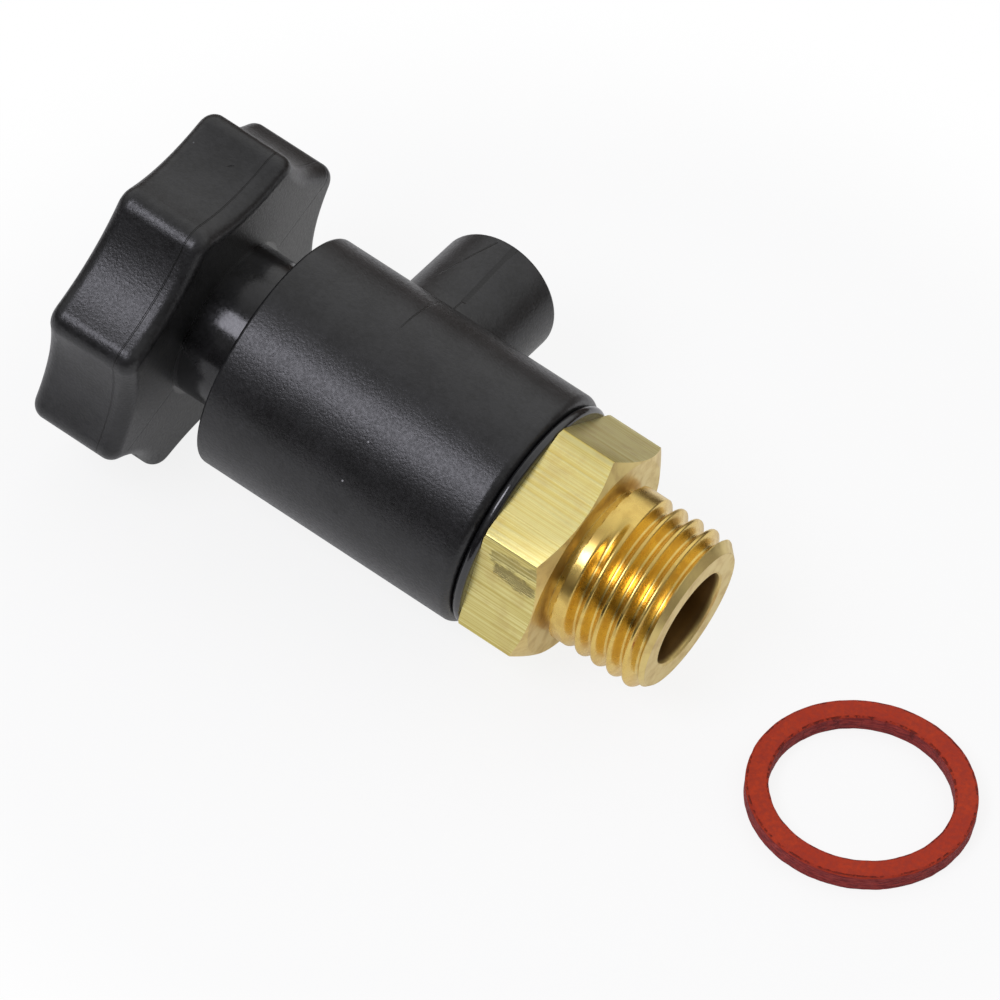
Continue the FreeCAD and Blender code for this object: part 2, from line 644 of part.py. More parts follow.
def make_snap_ring():
    corners = [
        (SNAP_START, SNAP_INSIDE),
        (SNAP_START, SNAP_OUTSIDE),
        (SNAP_END, SNAP_OUTSIDE),
        (SNAP_END, SNAP_INSIDE),
    ]
    return turned_piece("snap_ring", corners, angle=330)


def make_slip_washer():
    inside, outside = STEM_BORE, "dim.slip_washer_diameter / 2"
    corners = [
        (SLIP_START, inside),
        (SLIP_START, outside),
        (HEXAGON_BACK, outside),
        (HEXAGON_BACK, inside),
    ]
    return turned_piece("slip_washer", corners)


def make_sealing_washer():
    body = new_body("sealing_washer")
    sketch = sketch_on(body, "WasherCircles", "XY_Plane")
    disc(sketch, "(dim.washer_inner_diameter / 2 + dim.washer_width)")
    disc(sketch, "dim.washer_inner_diameter / 2")
    straight(body, "Washer", sketch, "dim.washer_thickness")
    return body


housing = make_body_housing()
on_axis = [
    make_brass_fitting(),
    make_star_knob(),
    make_spindle(),
    make_threaded_bush(),
    make_stop_clip(),
    make_valve_head(),
    make_seat_seal(),
    make_seal_screw(),
    make_snap_ring(),
    make_slip_washer(),
]
stem_ring_radius = f"({RING_GROOVE_BOTTOM} + dim.ring_seat_clearance + dim.stem_ring_section / 2)"
for name, start in zip(("inner_stem_ring", "outer_stem_ring"), RING_GROOVES):
    middle = f"({start} + dim.stem_groove_width / 2)"
    on_axis.append(sealing_ring(name, "dim.stem_ring_section", stem_ring_radius, middle))
gland_ring_radius = f"({SPINDLE_BORE} + dim.gland_ring_section / 2)"
on_axis.append(sealing_ring("gland_ring", "dim.gland_ring_section", gland_ring_radius, GLAND_MIDDLE))
washer = make_sealing_washer()


# How the cock lies: on the back edges of two lobes of its knob and on one corner of its hexagon
def resting_tilt():
    """The angle that the thread end points down, and the height of the axis at x = 0."""
    half = math.pi / number("dim.knob_lobes")
    reach = number(SCALLOP_CENTRE)
    tip = number("dim.knob_tip_rounding")
    edge = number("dim.knob_edge_rounding")
    bend = number("dim.knob_scallop") + tip
    tip_centre = reach * math.cos(half) - math.sqrt(bend**2 - (reach * math.sin(half)) ** 2)
    knob_x = number(KNOB_BACK) - edge
    knob_drop = tip_centre * math.cos(half) + tip - edge
    turned = number("dim.hexagon_turn") % 60
    corner = number(HEXAGON_CORNER)
    flat = number("dim.hexagon_face_diameter / 2")
    slope = math.tan(math.radians(number("dim.hexagon_chamfer")))
    hexagon_x = number(HEXAGON_FRONT) - (corner - flat) * slope
    hexagon_drop = corner * math.cos(math.radians(min(turned, 60 - turned)))
    tilt = 0.0
    for _ in range(20):
        step = knob_drop + edge / math.cos(tilt) - hexagon_drop
        tilt = math.atan(step / (hexagon_x - knob_x))
    height = hexagon_x * math.sin(tilt) + hexagon_drop * math.cos(tilt)
    return math.degrees(tilt), height


tilt, height = resting_tilt()
lying = Placement(Vector(0, 0, height), Rotation(Vector(0, 1, 0), tilt))
for piece in on_axis:
    piece.Placement = lying.multiply(piece.Placement)
dipped = Placement(Vector(0, 0, 0), Rotation(Vector(1, 0, 0), -number("dim.spout_dip")))
housing.Placement = lying.multiply(dipped)
washer.Placement = Placement(Vector(number("dim.washer_place"), 0, 0), Rotation())
doc.recompute()

# The origin is on the table, under the middle of the box round the cock and its washer
pieces = [housing] + on_axis + [washer]
boxes = [piece.Shape.optimalBoundingBox(True, False) for piece in pieces]
middle_x = (min(box.XMin for box in boxes) + max(box.XMax for box in boxes)) / 2
middle_y = (min(box.YMin for box in boxes) + max(box.YMax for box in boxes)) / 2
centring = Placement(Vector(-middle_x, -middle_y, 0), Rotation())
for piece in pieces:
    piece.Placement = centring.multiply(piece.Placement)
doc.recompute()

for item in doc.Objects:
    if {"Invalid", "Error"} & set(item.State):
        raise RuntimeError(f"{item.Label} failed: {item.State}")
for piece in pieces:
    if piece.Shape.isNull() or not piece.Shape.isValid() or len(piece.Shape.Solids) != 1:
        raise RuntimeError(f"{piece.Label} is not one valid solid")

os.makedirs("parts", exist_ok=True)
for piece in pieces:
    piece.Shape.exportStep(f"parts/{piece.Label}.step")
    print(f"{piece.Label}: {piece.Shape.Volume:.1f} mm3")
print(f"tilt {tilt:.5f} degrees, axis {height:.5f} mm above the table at the spout")
print(f"the spout's foot lies at x {-middle_x:.4f}, y {-middle_y:.4f} mm")
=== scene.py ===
# %% [markdown]
# # A drain cock on a table
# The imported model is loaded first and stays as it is. It gives every piece its place and size.
# The rest of this lesson gives the pieces their real surfaces: grained black plastic, a turned
# and threaded brass fitting, and a sealing washer of red fibre.

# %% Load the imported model
import json
import math

import bpy
from mathutils import Matrix, Vector, noise


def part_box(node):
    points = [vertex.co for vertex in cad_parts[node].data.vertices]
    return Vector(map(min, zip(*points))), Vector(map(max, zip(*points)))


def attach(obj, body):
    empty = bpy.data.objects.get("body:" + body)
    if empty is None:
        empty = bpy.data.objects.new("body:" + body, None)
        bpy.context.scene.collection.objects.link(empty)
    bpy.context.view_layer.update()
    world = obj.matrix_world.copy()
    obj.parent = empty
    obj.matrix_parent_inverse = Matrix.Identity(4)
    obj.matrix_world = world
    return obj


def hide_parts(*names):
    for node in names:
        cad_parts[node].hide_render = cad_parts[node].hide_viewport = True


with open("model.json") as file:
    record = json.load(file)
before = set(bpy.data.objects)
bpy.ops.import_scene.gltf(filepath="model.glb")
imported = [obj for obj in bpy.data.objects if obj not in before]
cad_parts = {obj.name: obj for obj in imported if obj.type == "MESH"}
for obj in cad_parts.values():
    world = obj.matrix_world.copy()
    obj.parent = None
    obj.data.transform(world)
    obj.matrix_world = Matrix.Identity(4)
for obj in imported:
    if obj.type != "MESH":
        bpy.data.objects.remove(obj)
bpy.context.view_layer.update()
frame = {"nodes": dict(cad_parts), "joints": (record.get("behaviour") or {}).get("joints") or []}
nodes = frame["nodes"]
print("nodes:", ", ".join(sorted(nodes)))

# %% [markdown]
# The cock lies on its side, tilted a little, and its body is turned a little on the fitting.
# Each piece is drawn along an axis of its own, in millimetres, where a place is easy to name:
# x runs from the knob towards the thread, and x = 0 is the middle of the spout. The record's
# joint that lets the body turn gives the axis, so one matrix puts a drawn piece in its place.

# %% The cock's axis, and the body's turn on it
MM = 0.001
swivel = next(joint for joint in frame["joints"] if joint["name"] == "swivel")
foot = Vector(swivel["pos_m"])
along = Vector(swivel["axis"])
tilt = math.atan2(-along.z, along.x)
SPOUT_DIP = 4.5
cock = Matrix.Translation(foot) @ Matrix.Rotation(tilt, 4, "Y")
housing = cock @ Matrix.Rotation(math.radians(-SPOUT_DIP), 4, "X")
print(f"tilt {math.degrees(tilt):.2f} degrees, axis {foot.z / MM:.2f} mm up")

# %% [markdown]
# ## Camera
# The camera stands where the photograph was taken from: above the table, in front of the
# spout's side, and rolled a little. Its three directions were fitted to the object's outlines.

# %% Camera
camera_right = Vector((0.8222, 0.563712, 0.078847))
camera_up = Vector((-0.46131, 0.578784, 0.67246))
camera_back = Vector((0.333438, -0.589269, 0.735922))
camera_place = Vector((foot.x, foot.y, 0)) + Vector((0.250974, -0.42112, 0.536645))
camera_data = bpy.data.cameras.new("camera")
camera_data.lens = 326.89
camera_data.sensor_width = 36
camera_data.clip_start = 0.01
camera = bpy.data.objects.new("camera", camera_data)
bpy.context.scene.collection.objects.link(camera)
turned = Matrix((camera_right, camera_up, camera_back)).transposed().to_4x4()
turned = turned.to_quaternion().to_matrix().to_4x4()
camera.matrix_world = Matrix.Translation(camera_place) @ turned
bpy.context.scene.camera = camera
print("camera at", [round(value, 4) for value in camera_place])

# %% [markdown]
# ## Working by hand, in code
# Turned pieces are made as on a lathe. A single vertex is drawn along half the section with
# the extrude tool, as one would click it point by point, and the outline is spun round x.

# %% Clear the selection
def start_clean():
    if bpy.context.object and bpy.context.object.mode != "OBJECT":
        bpy.ops.object.mode_set(mode="OBJECT")
    bpy.ops.object.select_all(action="DESELECT")


# %% Draw an outline with the extrude tool
def draw_outline(name, points, closed=False):
    """A chain of edges through points given as (x, radius) in millimetres."""
    start_clean()
    bpy.ops.mesh.primitive_plane_add(size=MM)
    piece = bpy.context.object
    piece.name = piece.data.name = name
    bpy.ops.object.mode_set(mode="EDIT")
    bpy.ops.mesh.select_mode(type="VERT")
    bpy.ops.mesh.select_all(action="SELECT")
    bpy.ops.mesh.merge(type="CENTER")
    here = Vector((points[0][0] * MM, points[0][1] * MM, 0))
    bpy.ops.transform.translate(value=here)
    for x, radius in points[1:]:
        there = Vector((x * MM, radius * MM, 0))
        bpy.ops.mesh.extrude_region_move(TRANSFORM_OT_translate={"value": there - here})
        here = there
    bpy.ops.mesh.select_all(action="SELECT")
    if closed:
        bpy.ops.mesh.edge_face_add()
        bpy.ops.mesh.delete(type="ONLY_FACE")
    bpy.ops.object.mode_set(mode="OBJECT")
    return piece


# %% Spin an outline round the cock's axis
TURN_STEPS = 160


def turn_on_lathe(name, points, closed=False, steps=TURN_STEPS):
    piece = draw_outline(name, points, closed)
    bpy.ops.object.mode_set(mode="EDIT")
    bpy.ops.mesh.select_all(action="SELECT")
    bpy.ops.mesh.spin(
        steps=steps, angle=2 * math.pi, center=(0, 0, 0), axis=(1, 0, 0), use_auto_merge=True
    )
    bpy.ops.mesh.select_all(action="SELECT")
    bpy.ops.mesh.remove_doubles(threshold=1e-6)
    bpy.ops.mesh.normals_make_consistent(inside=False)
    bpy.ops.object.mode_set(mode="OBJECT")
    print(name, len(piece.data.polygons), "faces")
    return piece


# %% Join, apply a modifier, and put a finished piece in its place
def apply_modifier(piece, kind, **settings):
    start_clean()
    piece.select_set(True)
    bpy.context.view_layer.objects.active = piece
    modifier = piece.modifiers.new(kind.title(), kind)
    for key, value in settings.items():
        setattr(modifier, key, value)
    bpy.ops.object.modifier_apply(modifier=modifier.name)


def join_pieces(first, *others):
    start_clean()
    for piece in (first, *others):
        piece.select_set(True)
    bpy.context.view_layer.objects.active = first
    bpy.ops.object.join()
    return first


def set_in_place(piece, place, smooth_below=32):
    piece.data.transform(place)
    piece.data.update()
    start_clean()
    piece.select_set(True)
    bpy.context.view_layer.objects.active = piece
    bpy.ops.object.shade_smooth_by_angle(angle=math.radians(smooth_below))
    return piece


def loose_edges(piece):
    """How many edges don't have exactly two faces: none on a closed piece."""
    uses = {}
    for face in piece.data.polygons:
        for key in face.edge_keys:
            uses[key] = uses.get(key, 0) + 1
    return sum(1 for count in uses.values() if count != 2)


# %% [markdown]
# ## Finishes
# Every finish is built from nodes. A Mapping node turns the object's coordinates into the
# cock's own millimetres, so a mark can be given the place it was measured at, and it stays
# with its piece when the knob turns.

# %% Node helpers
def new_finish(name):
    material = bpy.data.materials.new(name)
    material.use_nodes = True
    tree = material.node_tree
    return material, tree, tree.nodes["Principled BSDF"]


def node(tree, kind, inputs=None, **settings):
    made = tree.nodes.new(kind)
    for key, value in settings.items():
        setattr(made, key, value)
    for key, value in (inputs or {}).items():
        if isinstance(value, bpy.types.NodeSocket):
            tree.links.new(value, made.inputs[key])
        else:
            made.inputs[key].default_value = value
    return made


def maths(tree, operation, first, second=0.0, third=0.0, clamp=False):
    values = {0: first, 1: second, 2: third}
    made = node(tree, "ShaderNodeMath", values, operation=operation, use_clamp=clamp)
    return made.outputs[0]


def vectors(tree, operation, first, second=(0, 0, 0), output="Vector"):
    values = {0: first, 1: second}
    made = node(tree, "ShaderNodeVectorMath", values, operation=operation)
    return made.outputs[output]


def times(tree, first, second):
    return maths(tree, "MULTIPLY", first, second)


def away_from(tree, value, target):
    """How far a value is from a target, on either side."""
    return maths(tree, "ABSOLUTE", maths(tree, "SUBTRACT", value, target))


def scaled(tree, point, factors):
    return vectors(tree, "MULTIPLY", point, factors)


def from_axis(tree, point):
    """The distance from the x axis."""
    return vectors(tree, "LENGTH", scaled(tree, point, (0, 1, 1)), output="Value")


def own_millimetres(tree, place):
    """Object coordinates turned into the drawing axes of a piece, in millimetres."""
    inverse = place.inverted()
    turn = inverse.to_euler("XYZ")
    shift = inverse.to_translation() / MM
    coordinates = node(tree, "ShaderNodeTexCoord").outputs["Object"]
    inputs = {
        "Vector": coordinates,
        "Location": shift,
        "Rotation": turn,
        "Scale": (1 / MM,) * 3,
    }
    return node(tree, "ShaderNodeMapping", inputs).outputs["Vector"]


def fade(tree, value, start, end, to_start=1.0, to_end=0.0):
    """A smooth change from to_start at start to to_end at end."""
    inputs = {
        "Value": value,
        "From Min": start,
        "From Max": end,
        "To Min": to_start,
        "To Max": to_end,
    }
    return node(tree, "ShaderNodeMapRange", inputs, interpolation_type="SMOOTHSTEP").outputs[0]


def grain(tree, point, scale, detail=2.0, roughness=0.5):
    inputs = {"Vector": point, "Scale": scale, "Detail": detail, "Roughness": roughness}
    return node(tree, "ShaderNodeTexNoise", inputs).outputs[0]


def mix_colours(tree, share, first, second):
    inputs = {0: share, 6: first, 7: second}
    return node(tree, "ShaderNodeMix", inputs, data_type="RGBA").outputs[2]


def blend(tree, value, start, end, first, second, most=1.0):
    """The first colour up to start, and the second from end on, by the share most."""
    return mix_colours(tree, fade(tree, value, start, end, 0.0, most), first, second)


def bump(tree, height, depth_mm, normal=None):
    inputs = {"Height": height, "Distance": depth_mm * MM, "Strength": 1.0}
    if normal is not None:
        inputs["Normal"] = normal
    return node(tree, "ShaderNodeBump", inputs).outputs[0]


# %% The distance to a measured line, for scratches, moulding lines and dents
def near_line(tree, point, start, end):
    way = Vector(end) - Vector(start)
    offset = vectors(tree, "SUBTRACT", point, tuple(start))
    reach = vectors(tree, "DOT_PRODUCT", offset, tuple(way), "Value")
    share = maths(tree, "DIVIDE", reach, way.length_squared, clamp=True)
    inputs = {0: tuple(way), "Scale": share}
    nearest = node(tree, "ShaderNodeVectorMath", inputs, operation="SCALE")
    away = vectors(tree, "SUBTRACT", offset, nearest.outputs[0])
    return vectors(tree, "LENGTH", away, output="Value")


def on_barrel(x, degrees, radius):
    """A point at an angle from straight up towards the spout."""
    angle = math.radians(degrees)
    return (x, radius * math.sin(angle), radius * math.cos(angle))


# %% [markdown]
# ### Black plastic
# The knob and the body are moulded in steel with an eroded surface. Up close it is a fine
# grain that breaks a highlight into specks. Where the halves of the mould met, a thin line
# stays, and handling adds a scratch and a few specks of dust. A pit shows only as painted
# shade, a dark spot with no dent.

# %% One black plastic, with lists of lines and specks
PLASTIC = (0.014, 0.014, 0.0145)
PLASTIC_ROUGHNESS = 0.335
GRAIN_DEPTH = 0.032
LINE_DEPTH = 0.05


def moulded_black(name, place, lines, specks, smooth=None):
    material, tree, shader = new_finish(name)
    point = own_millimetres(tree, place)
    fine = grain(tree, point, 4.3, 3.0, 0.6)
    coarse = grain(tree, point, 0.35, 3.0)
    cloud = grain(tree, point, 2.2, 2.0)
    pale = tuple(value * 1.5 for value in PLASTIC) + (1,)
    dark = tuple(value * 0.7 for value in PLASTIC) + (1,)
    shade = maths(tree, "ADD", times(tree, coarse, 0.6), times(tree, cloud, 0.4))
    tone = blend(tree, shade, 0.35, 0.65, dark, pale)
    line_mask = 0.0
    for start, end, width in lines:
        mask = fade(tree, near_line(tree, point, start, end), width * 0.4, width)
        line_mask = maths(tree, "MAXIMUM", line_mask, mask)
    for mask in plane_marks(tree, point, name):
        line_mask = maths(tree, "MAXIMUM", line_mask, mask)
    # Lines darken the plastic: mould lines and scratches, and on the body one painted dark
    # reflection.
    tone = mix_colours(tree, line_mask, tone, (0.004, 0.004, 0.004, 1))
    for spot, size, spot_colour in specks:
        distance = vectors(tree, "DISTANCE", point, spot, "Value")
        mask = fade(tree, distance, size * 0.5, size)
        tone = mix_colours(tree, mask, tone, spot_colour + (1,))
    tree.links.new(tone, shader.inputs["Base Color"])
    rough = fade(tree, fine, 0.3, 0.7, PLASTIC_ROUGHNESS - 0.06, PLASTIC_ROUGHNESS + 0.06)
    height = fine
    if smooth is not None:
        sleek = smooth(tree, point)
        rough = maths(tree, "SUBTRACT", rough, times(tree, sleek, 0.17))
        height = times(tree, fine, maths(tree, "SUBTRACT", 1.0, times(tree, sleek, 0.9)))
    tree.links.new(rough, shader.inputs["Roughness"])
    normal = bump(tree, height, GRAIN_DEPTH)
    normal = bump(tree, maths(tree, "SUBTRACT", 1.0, line_mask), LINE_DEPTH, normal)
    tree.links.new(normal, shader.inputs["Normal"])
    shader.inputs["Specular IOR Level"].default_value = 0.5
    return material


# %% [markdown]
# The knob's mould parted in a plane across the axis, which leaves a line round all lobes, and
# its back face carries a straight line through the axis. The body's mould parted across the
# axis too, through the middle of the spout.

# %% The planes where the moulds parted
KNOB_PARTING = -15.85
KNOB_BACK_LINE = 64.0
KNOB_NECK_FOOT = 7.2
BODY_PARTING = 0.63


def plane_marks(tree, point, name):
    """The masks of the thin lines that the named plastic's mould left."""
    parts = node(tree, "ShaderNodeSeparateXYZ", {0: point}).outputs
    if name == "knob_black":
        round_lobes = fade(tree, away_from(tree, parts[0], KNOB_PARTING), 0.03, 0.09)
        angle = math.radians(KNOB_BACK_LINE)
        way = (0, math.cos(angle), -math.sin(angle))
        across = vectors(tree, "DOT_PRODUCT", point, way, "Value")
        on_back = fade(tree, maths(tree, "ABSOLUTE", across), 0.03, 0.09)
        behind = fade(tree, parts[0], KNOB_PARTING, KNOB_PARTING + 0.1, 0.0, 1.0)
        beyond_neck = fade(
            tree, from_axis(tree, point), KNOB_NECK_FOOT, KNOB_NECK_FOOT + 0.4, 0.0, 1.0
        )
        return [round_lobes, times(tree, on_back, times(tree, behind, beyond_neck))]
    line = fade(tree, away_from(tree, parts[0], BODY_PARTING), 0.02, 0.07)
    near_spout = fade(tree, parts[1], -2.5, 1.5, 0.0, 1.0)
    return [times(tree, times(tree, line, near_spout), 0.8)]


def knob_neck(tree, point):
    return fade(tree, from_axis(tree, point), KNOB_NECK_FOOT - 0.3, KNOB_NECK_FOOT)


# %% The knob's and the body's plastic
DUST = (0.35, 0.35, 0.36)
# A near-black for a speck of soot, and for the painted shade of a pit.
PIT_SHADE_AND_SOOT = (0.003, 0.003, 0.003)
knob_black = moulded_black(
    "knob_black",
    cock,
    [(on_barrel(-19.98, -0.9, 13.7), on_barrel(-17.73, 11.3, 13.7), 0.12)],
    [
        (on_barrel(-20.63, 28.3, 14.0), 0.25, DUST),
        (on_barrel(-21.51, 10.6, 13.8), 0.18, DUST),
        (on_barrel(-16.29, -35.1, 14.0), 0.2, DUST),
    ],
    knob_neck,
)
satin_black = moulded_black(
    "satin_black",
    housing,
    [
        ((-3.3, 10.5, 4.6), (-1.1, 17.9, 5.35), 0.1),
        # The second line, a wide dark band on the spout's top beside the parting line, is a painted
        # dark reflection, also bumped in a little like a mould step.
        ((0.75, 10.5, 5.4), (0.4, 18.4, 5.43), 0.3),
    ],
    [
        # The first dark speck is a pit, painted as shade: a dark spot with no dent.
        (on_barrel(4.0, -92.1, 10.45), 0.36, PIT_SHADE_AND_SOOT),
        (on_barrel(3.7, -75.0, 10.45), 0.12, DUST),
        (on_barrel(4.16, -53.4, 10.45), 0.1, DUST),
        (on_barrel(14.12, -61.6, 10.45), 0.14, PIT_SHADE_AND_SOOT),
        (on_barrel(8.11, 29.7, 10.45), 0.12, (0.06, 0.05, 0.04)),
    ],
)
print("black plastics:", knob_black.name, satin_black.name)

# %% The glossy ring between body and hexagon
glossy_black, tree, shader = new_finish("glossy_black")
point = own_millimetres(tree, cock)
wear = grain(tree, point, 3.0, 4.0)
tone = mix_colours(tree, wear, (0.006, 0.006, 0.007, 1), (0.02, 0.02, 0.022, 1))
tree.links.new(tone, shader.inputs["Base Color"])
tree.links.new(fade(tree, wear, 0.3, 0.7, 0.12, 0.24), shader.inputs["Roughness"])
shader.inputs["Specular IOR Level"].default_value = 0.8
tree.links.new(bump(tree, grain(tree, point, 1.2, 2.0), 0.02), shader.inputs["Normal"])

# %% [markdown]
# ### Brass
# The fitting is cut from a drawn hexagon bar. Its flats keep the die's long streaks, while all
# that the lathe has touched is smooth and warmer, with rings too fine to count.

# %% Drawn brass for the flats
HEXAGON_BRUISES = (
    ((17.4, -8.65, 4.5), (20.9, -8.57, 5.0), 0.6, 0.4),
    ((18.2, -8.75, 3.45), (20.7, -8.78, 3.1), 0.8, 0.75),
)


def bruised(tree, point):
    """Two ragged patches on one flat, which the die's streaks break up."""
    ragged = grain(tree, scaled(tree, point, (1.1, 2.6, 2.6)), 1.0, 4.0, 0.6)
    ragged = times(tree, maths(tree, "SUBTRACT", ragged, 0.5), 1.6)
    masks = 0.0
    for start, end, width, strength in HEXAGON_BRUISES:
        distance = maths(tree, "ADD", near_line(tree, point, start, end), ragged)
        mask = times(tree, fade(tree, distance, width * 0.55, width), strength)
        masks = maths(tree, "MAXIMUM", masks, mask)
    return masks


drawn_brass, tree, shader = new_finish("drawn_brass")
point = own_millimetres(tree, cock)
streaks = grain(tree, scaled(tree, point, (0.05, 6.0, 6.0)), 1.0, 5.0, 0.6)
broad = grain(tree, scaled(tree, point, (0.1, 0.7, 0.7)), 1.0, 2.0)
blotches = grain(tree, point, 0.5, 4.0, 0.6)
pale_brass = (0.89, 0.80, 0.35, 1)
deep_brass = (0.71, 0.58, 0.17, 1)
tone = blend(tree, streaks, 0.36, 0.62, deep_brass, pale_brass)
tone = blend(tree, blotches, 0.45, 0.75, tone, (0.60, 0.42, 0.16, 1), 0.35)
bruise = times(tree, bruised(tree, point), fade(tree, streaks, 0.38, 0.64, 1.0, 0.4))
tone = mix_colours(tree, bruise, tone, (0.30, 0.24, 0.10, 1))
tree.links.new(tone, shader.inputs["Base Color"])
shader.inputs["Metallic"].default_value = 1.0
tree.links.new(fade(tree, streaks, 0.3, 0.7, 0.5, 0.3), shader.inputs["Roughness"])
height = maths(tree, "ADD", times(tree, streaks, 0.7), times(tree, broad, 0.3))
tree.links.new(bump(tree, height, 0.016, bump(tree, bruise, -0.1)), shader.inputs["Normal"])

# %% Turned brass for the thread, the relief, the faces and the bore
turned_brass, tree, shader = new_finish("turned_brass")
point = own_millimetres(tree, cock)
parts = node(tree, "ShaderNodeSeparateXYZ", {0: point}).outputs
radius = from_axis(tree, point)
rings = {0: times(tree, parts[0], 5.0), 1: times(tree, radius, 5.0)}
rings = node(tree, "ShaderNodeCombineXYZ", rings).outputs[0]
lathe_marks = grain(tree, rings, 1.0, 3.0)
tarnish = grain(tree, point, 0.8, 5.0, 0.6)
golden = blend(tree, tarnish, 0.4, 0.72, (0.85, 0.61, 0.18, 1), (0.70, 0.46, 0.13, 1), 0.6)
faced = blend(tree, tarnish, 0.4, 0.72, (0.83, 0.65, 0.25, 1), (0.68, 0.50, 0.20, 1), 0.8)
on_end = fade(tree, parts[0], 30.0, 30.3, 0.0, 1.0)
on_hexagon = fade(tree, parts[0], 21.82, 21.9)
on_face = maths(tree, "MAXIMUM", on_end, on_hexagon)
tone = mix_colours(tree, on_face, golden, faced)
# Inside the bore the brass is darkened to a deep brown: painted shade in the hole. It is made rougher
# there too.
inside = times(tree, fade(tree, radius, 4.12, 4.3), fade(tree, parts[0], 30.4, 31.0))
tone = mix_colours(tree, times(tree, inside, 0.92), tone, (0.14, 0.064, 0.018, 1))
tree.links.new(tone, shader.inputs["Base Color"])
shader.inputs["Metallic"].default_value = 1.0
rough = fade(tree, tarnish, 0.3, 0.7, 0.2, 0.34)
rough = maths(tree, "ADD", rough, times(tree, on_face, 0.1))
rough = maths(tree, "ADD", rough, times(tree, inside, 0.2))
tree.links.new(rough, shader.inputs["Roughness"])
tree.links.new(bump(tree, lathe_marks, 0.008), shader.inputs["Normal"])
print("brass:", drawn_brass.name, turned_brass.name)

# %% [markdown]
# ### Red fibre
# The washer is punched from vulcanised fibre. Its faces are an even brick red with a faint
# mottle, and the punched edges are darker, with torn fibres along their rims.

# %% Vulcanised fibre
washer_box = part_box("sealing_washer")
washer_middle = (washer_box[0] + washer_box[1]) / 2
washer_place = Matrix.Translation((washer_middle.x, washer_middle.y, 0))
vulcanised_fibre, tree, shader = new_finish("vulcanised_fibre")
point = own_millimetres(tree, washer_place)
parts = node(tree, "ShaderNodeSeparateXYZ", {0: point}).outputs
radius = vectors(tree, "LENGTH", scaled(tree, point, (1, 1, 0)), output="Value")
mottle = grain(tree, point, 2.5, 5.0, 0.6)
cloud = grain(tree, point, 0.4, 3.0)
layers = grain(tree, scaled(tree, point, (1.2, 1.2, 9.0)), 1.0, 4.0, 0.6)
face_tone = blend(tree, mottle, 0.3, 0.7, (0.37, 0.027, 0.006, 1), (0.52, 0.044, 0.009, 1))
face_tone = blend(tree, cloud, 0.35, 0.65, face_tone, (0.38, 0.022, 0.008, 1), 0.4)
edge_tone = blend(tree, layers, 0.35, 0.65, (0.18, 0.013, 0.015, 1), (0.40, 0.046, 0.036, 1))
on_top = fade(tree, parts[2], 1.3, 1.42, 0.0, 1.0)
tone = mix_colours(tree, on_top, edge_tone, face_tone)
torn = grain(tree, scaled(tree, point, (1.0, 1.0, 0.3)), 1.6, 4.0, 0.7)
wander = times(tree, maths(tree, "SUBTRACT", torn, 0.5), 0.3)
wavy = maths(tree, "ADD", radius, wander)
from_rims = maths(tree, "MINIMUM", away_from(tree, wavy, 7.44), away_from(tree, wavy, 9.07))
rim_line = fade(tree, from_rims, 0.03, 0.1)
rim_line = times(tree, rim_line, fade(tree, torn, 0.45, 0.6, 0.0, 1.0))
tone = mix_colours(tree, times(tree, rim_line, 0.75), tone, (0.09, 0.006, 0.006, 1))
tree.links.new(tone, shader.inputs["Base Color"])
tree.links.new(fade(tree, mottle, 0.3, 0.7, 0.62, 0.8), shader.inputs["Roughness"])
shader.inputs["Specular IOR Level"].default_value = 0.35
normal = bump(tree, mottle, 0.03)
on_edge = maths(tree, "SUBTRACT", 1.0, on_top)
normal = bump(tree, times(tree, layers, on_edge), 0.1, normal)
tree.links.new(bump(tree, rim_line, -0.08, normal), shader.inputs["Normal"])


# %% Steel and rubber for the pieces inside
def plain_finish(name, first, second, stretch, metallic, roughness, depth):
    material, tree, shader = new_finish(name)
    point = own_millimetres(tree, cock)
    pattern = grain(tree, scaled(tree, point, stretch), 1.0, 4.0, 0.6)
    tone = mix_colours(tree, pattern, first + (1,), second + (1,))
    tree.links.new(tone, shader.inputs["Base Color"])
    shader.inputs["Metallic"].default_value = metallic
    tree.links.new(fade(tree, pattern, 0.3, 0.7, *roughness), shader.inputs["Roughness"])
    tree.links.new(bump(tree, pattern, depth), shader.inputs["Normal"])
    return material


spring_steel = plain_finish(
    "spring_steel", (0.42, 0.42, 0.43), (0.6, 0.6, 0.6), (1.5, 6, 6), 1.0, (0.25, 0.4), 0.01
)
ring_rubber = plain_finish(
    "ring_rubber", (0.012, 0.012, 0.012), (0.03, 0.03, 0.03), (4, 4, 4), 0.0, (0.5, 0.7), 0.01
)
machined_brass = plain_finish(
    "machined_brass", (0.72, 0.52, 0.2), (0.84, 0.64, 0.28), (6, 0.6, 0.6), 1.0, (0.2, 0.35), 0.008
)

# %% [markdown]
# ## The brass fitting
# The thread is what the eye goes to. It is one tooth and one groove of the section, drawn as a
# chain and carried along a screw line by the Screw modifier. At both ends every vertex is held
# inside a cone, which is what the lathe's chamfer does, and so the ends become clean circles.

# %% The section of one turn of thread
PITCH = 1.5
CREST = 7.0
ROOT = 6.08
LAND_START = 22.35
THREAD_END = 31.0
RELIEF = 6.2
END_RADIUS = 6.1
CREST_AT = 24.6
CREST_AT_SIDE = CREST_AT - PITCH / 4
TURNS = 9
FLATNESS = 1.35


def thread_radius(share):
    """The radius at a share of the pitch: a flat-topped tooth with rounded corners."""
    slope = 1 - 4 * abs(share - 0.5)
    tooth = max(-1.0, min(1.0, slope * FLATNESS))
    rounded = 0.6 * tooth + 0.4 * math.sin(tooth * math.pi / 2)
    return (CREST + ROOT) / 2 + rounded * (CREST - ROOT) / 2


